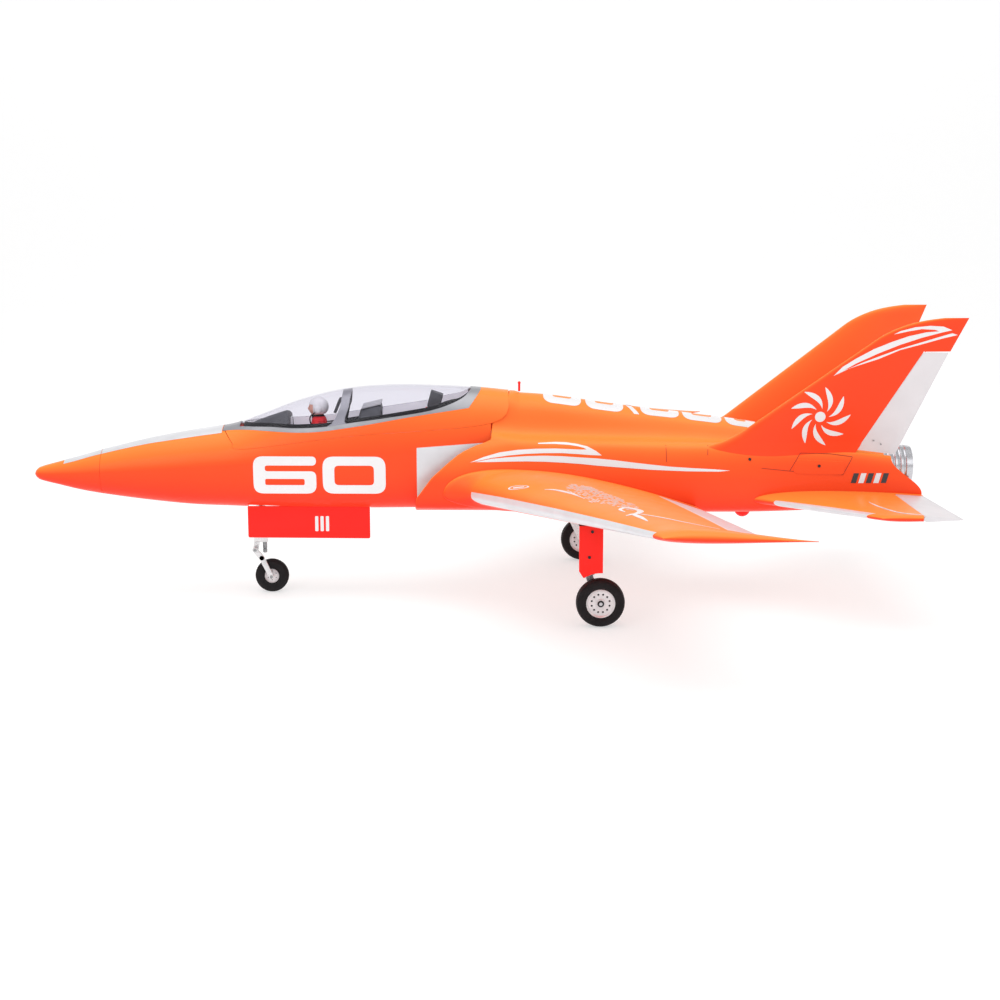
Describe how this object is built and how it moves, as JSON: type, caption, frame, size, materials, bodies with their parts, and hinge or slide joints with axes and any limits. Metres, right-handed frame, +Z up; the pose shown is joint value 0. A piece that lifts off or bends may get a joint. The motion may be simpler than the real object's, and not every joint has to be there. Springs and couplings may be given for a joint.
{
  "type": "rc jet plane",
  "caption": "Ducted-fan sport jet model with twin canted fins, cheek intakes, a bubble canopy over a tandem cockpit, and retracting tricycle gear with moving control surfaces.",
  "frame": {"origin": "on the ground, under the middle of the aircraft's length and span", "axes": "+X aft along the fuselage, +Y to starboard, +Z up; the wheels stand on z = 0"},
  "size_m": [1.426, 1.2, 0.444],
  "materials": {
    "orange_foam": "satin painted foam",
    "silver_foam": "silver painted foam",
    "white_plastic": "moulded thin sheet",
    "dark_plastic": "black moulded",
    "fan_plastic": "glass-filled moulding",
    "motor_metal": "turned",
    "nozzle_metal": "bright, ribbed",
    "plywood": "plain ply",
    "battery_wrap": "shrink wrap",
    "electronics": "boxed electronics",
    "carbon_tube": "woven carbon tube",
    "steel_screw": "plain",
    "red_plastic": "red moulded",
    "canopy_clear": "thin clear moulding",
    "pilot_paint": "painted moulding",
    "gear_alloy": "satin machined",
    "wheel_alloy": "turned",
    "wheel_rubber": "smooth rubber"
  },
  "bodies": {
    "airframe": {"nose_cone": "orange_foam", "front_fuselage": "orange_foam", "main_fuselage": "orange_foam", "intake_ducts": "white_plastic", "fan_housing": "dark_plastic", "fan_motor": "motor_metal", "thrust_tube": "white_plastic", "tail_nozzle": "nozzle_metal", "battery_tray": "plywood", "battery_pack": "battery_wrap", "speed_controller": "electronics", "receiver": "electronics", "wing_left": "orange_foam", "wing_right": "orange_foam", "wing_spar_tubes": "carbon_tube", "fin_left": "orange_foam", "fin_right": "orange_foam", "stab_left": "orange_foam", "stab_right": "orange_foam", "flight_servos": "dark_plastic", "servo_covers": "orange_foam", "airframe_screws": "steel_screw", "antenna_pin": "red_plastic", "belly_dome": "red_plastic", "nose_retract_unit": "dark_plastic", "main_retract_units": "dark_plastic"},
    "canopy_hatch": {"hatch_shell": "orange_foam", "canopy_frame": "silver_foam", "canopy_glass": "canopy_clear", "cockpit_tub": "dark_plastic", "cockpit_panels": "dark_plastic", "cockpit_seats": "dark_plastic", "pilot_bust": "pilot_paint", "hatch_magnets": "steel_screw"},
    "fan_rotor": {"fan_rotor": "fan_plastic"},
    "aileron_left": {"aileron_left": "silver_foam"},
    "aileron_right": {"aileron_right": "silver_foam"},
    "flap_left": {"flap_left": "silver_foam"},
    "flap_right": {"flap_right": "silver_foam"},
    "elevator_left": {"elevator_left": "silver_foam"},
    "elevator_right": {"elevator_right": "silver_foam"},
    "rudder_left": {"rudder_left": "silver_foam"},
    "rudder_right": {"rudder_right": "silver_foam"},
    "nose_leg": {"nose_leg_block": "gear_alloy"},
    "nose_steering": {"nose_strut": "gear_alloy"},
    "nose_link": {"nose_arm": "gear_alloy"},
    "nose_wheel": {"nose_rim": "wheel_alloy", "nose_tyre": "wheel_rubber"},
    "nose_door": {"nose_door": "red_plastic"},
    "main_leg_left": {"main_strut_left": "gear_alloy", "gear_plate_left": "red_plastic"},
    "main_link_left": {"main_arm_left": "gear_alloy"},
    "main_wheel_left": {"main_rim_left": "wheel_alloy", "main_tyre_left": "wheel_rubber"},
    "main_leg_right": {"main_strut_right": "gear_alloy", "gear_plate_right": "red_plastic"},
    "main_link_right": {"main_arm_right": "gear_alloy"},
    "main_wheel_right": {"main_rim_right": "wheel_alloy", "main_tyre_right": "wheel_rubber"}
  },
  "joints": [
    {"name": "hatch_lift", "type": "slide", "parent": "airframe", "child": "canopy_hatch", "axis": [0, 0, 1], "range_m": [0, 0.12]},
    {"name": "fan_spin", "type": "hinge", "parent": "airframe", "child": "fan_rotor", "pos_m": [0.212, 0, 0.201], "axis": [1, 0, 0], "continuous": true},
    {"name": "flap_left", "type": "hinge", "parent": "airframe", "child": "flap_left", "pos_m": [0.26566, -0.245, 0.17511], "axis": [-0.1251, 0.9882, -0.0882], "range_deg": [0, 35]},
    {"name": "aileron_left", "type": "hinge", "parent": "airframe", "child": "aileron_left", "pos_m": [0.29097, -0.445, 0.19297], "axis": [-0.1251, 0.9882, -0.0882], "range_deg": [-20, 20]},
    {"name": "elevator_left", "type": "hinge", "parent": "airframe", "child": "elevator_left", "pos_m": [0.619, -0.206, 0.17149], "axis": [0, 0.9999, -0.0158], "range_deg": [-20, 20]},
    {"name": "rudder_left", "type": "hinge", "parent": "airframe", "child": "rudder_left", "pos_m": [0.559, -0.086, 0.235], "axis": [0.4965, -0.1702, 0.8512], "range_deg": [-25, 25]},
    {"name": "flap_right", "type": "hinge", "parent": "airframe", "child": "flap_right", "pos_m": [0.26566, 0.245, 0.17511], "axis": [0.1251, 0.9882, 0.0882], "range_deg": [0, 35]},
    {"name": "aileron_right", "type": "hinge", "parent": "airframe", "child": "aileron_right", "pos_m": [0.29097, 0.445, 0.19297], "axis": [0.1251, 0.9882, 0.0882], "range_deg": [-20, 20]},
    {"name": "elevator_right", "type": "hinge", "parent": "airframe", "child": "elevator_right", "pos_m": [0.619, 0.206, 0.17149], "axis": [0, 0.9999, 0.0158], "range_deg": [-20, 20]},
    {"name": "rudder_right", "type": "hinge", "parent": "airframe", "child": "rudder_right", "pos_m": [0.559, 0.086, 0.235], "axis": [0.4965, 0.1702, 0.8512], "range_deg": [-25, 25]},
    {"name": "nose_leg_fold", "type": "hinge", "parent": "airframe", "child": "nose_leg", "pos_m": [-0.361, 0, 0.155], "axis": [0, -1, 0], "range_deg": [0, 90]},
    {"name": "nose_steer", "type": "hinge", "parent": "nose_leg", "child": "nose_steering", "pos_m": [-0.361, 0, 0.13], "axis": [0, 0, 1], "range_deg": [-25, 25]},
    {"name": "nose_link_swing", "type": "hinge", "parent": "nose_steering", "child": "nose_link", "pos_m": [-0.37, 0, 0.07], "axis": [0, -1, 0], "range_deg": [0, 15], "stiffness_Nm_per_rad": 2},
    {"name": "nose_wheel_spin", "type": "hinge", "parent": "nose_link", "child": "nose_wheel", "pos_m": [-0.345, 0, 0.0265], "axis": [0, 1, 0], "continuous": true},
    {"name": "nose_door_swing", "type": "hinge", "parent": "airframe", "child": "nose_door", "pos_m": [-0.277, -0.027, 0.142], "axis": [1, 0, 0], "range_deg": [0, 18]},
    {"name": "main_leg_fold_right", "type": "hinge", "parent": "airframe", "child": "main_leg_right", "pos_m": [0.153, 0.214, 0.172], "axis": [-1, 0, 0], "range_deg": [0, 90]},
    {"name": "main_link_swing_right", "type": "hinge", "parent": "main_leg_right", "child": "main_link_right", "pos_m": [0.142, 0.204, 0.078], "axis": [0, -1, 0], "range_deg": [0, 15], "stiffness_Nm_per_rad": 3},
    {"name": "main_wheel_spin_right", "type": "hinge", "parent": "main_link_right", "child": "main_wheel_right", "pos_m": [0.161, 0.2275, 0.036], "axis": [0, 1, 0], "continuous": true},
    {"name": "main_leg_fold_left", "type": "hinge", "parent": "airframe", "child": "main_leg_left", "pos_m": [0.153, -0.214, 0.172], "axis": [1, 0, 0], "range_deg": [0, 90]},
    {"name": "main_link_swing_left", "type": "hinge", "parent": "main_leg_left", "child": "main_link_left", "pos_m": [0.142, -0.204, 0.078], "axis": [0, -1, 0], "range_deg": [0, 15], "stiffness_Nm_per_rad": 3},
    {"name": "main_wheel_spin_left", "type": "hinge", "parent": "main_link_left", "child": "main_wheel_left", "pos_m": [0.161, -0.2275, 0.036], "axis": [0, 1, 0], "continuous": true}
  ],
  "couplings": [
    {"joint": "flap_left", "follows": "flap_right", "ratio": 1},
    {"joint": "aileron_left", "follows": "aileron_right", "ratio": -1},
    {"joint": "elevator_left", "follows": "elevator_right", "ratio": 1},
    {"joint": "rudder_left", "follows": "rudder_right", "ratio": 1},
    {"joint": "nose_steer", "follows": "rudder_right", "ratio": 1},
    {"joint": "main_leg_fold_left", "follows": "nose_leg_fold", "ratio": 1},
    {"joint": "main_leg_fold_right", "follows": "nose_leg_fold", "ratio": 1},
    {"joint": "nose_door_swing", "follows": "nose_leg_fold", "ratio": 0.2}
  ]
}
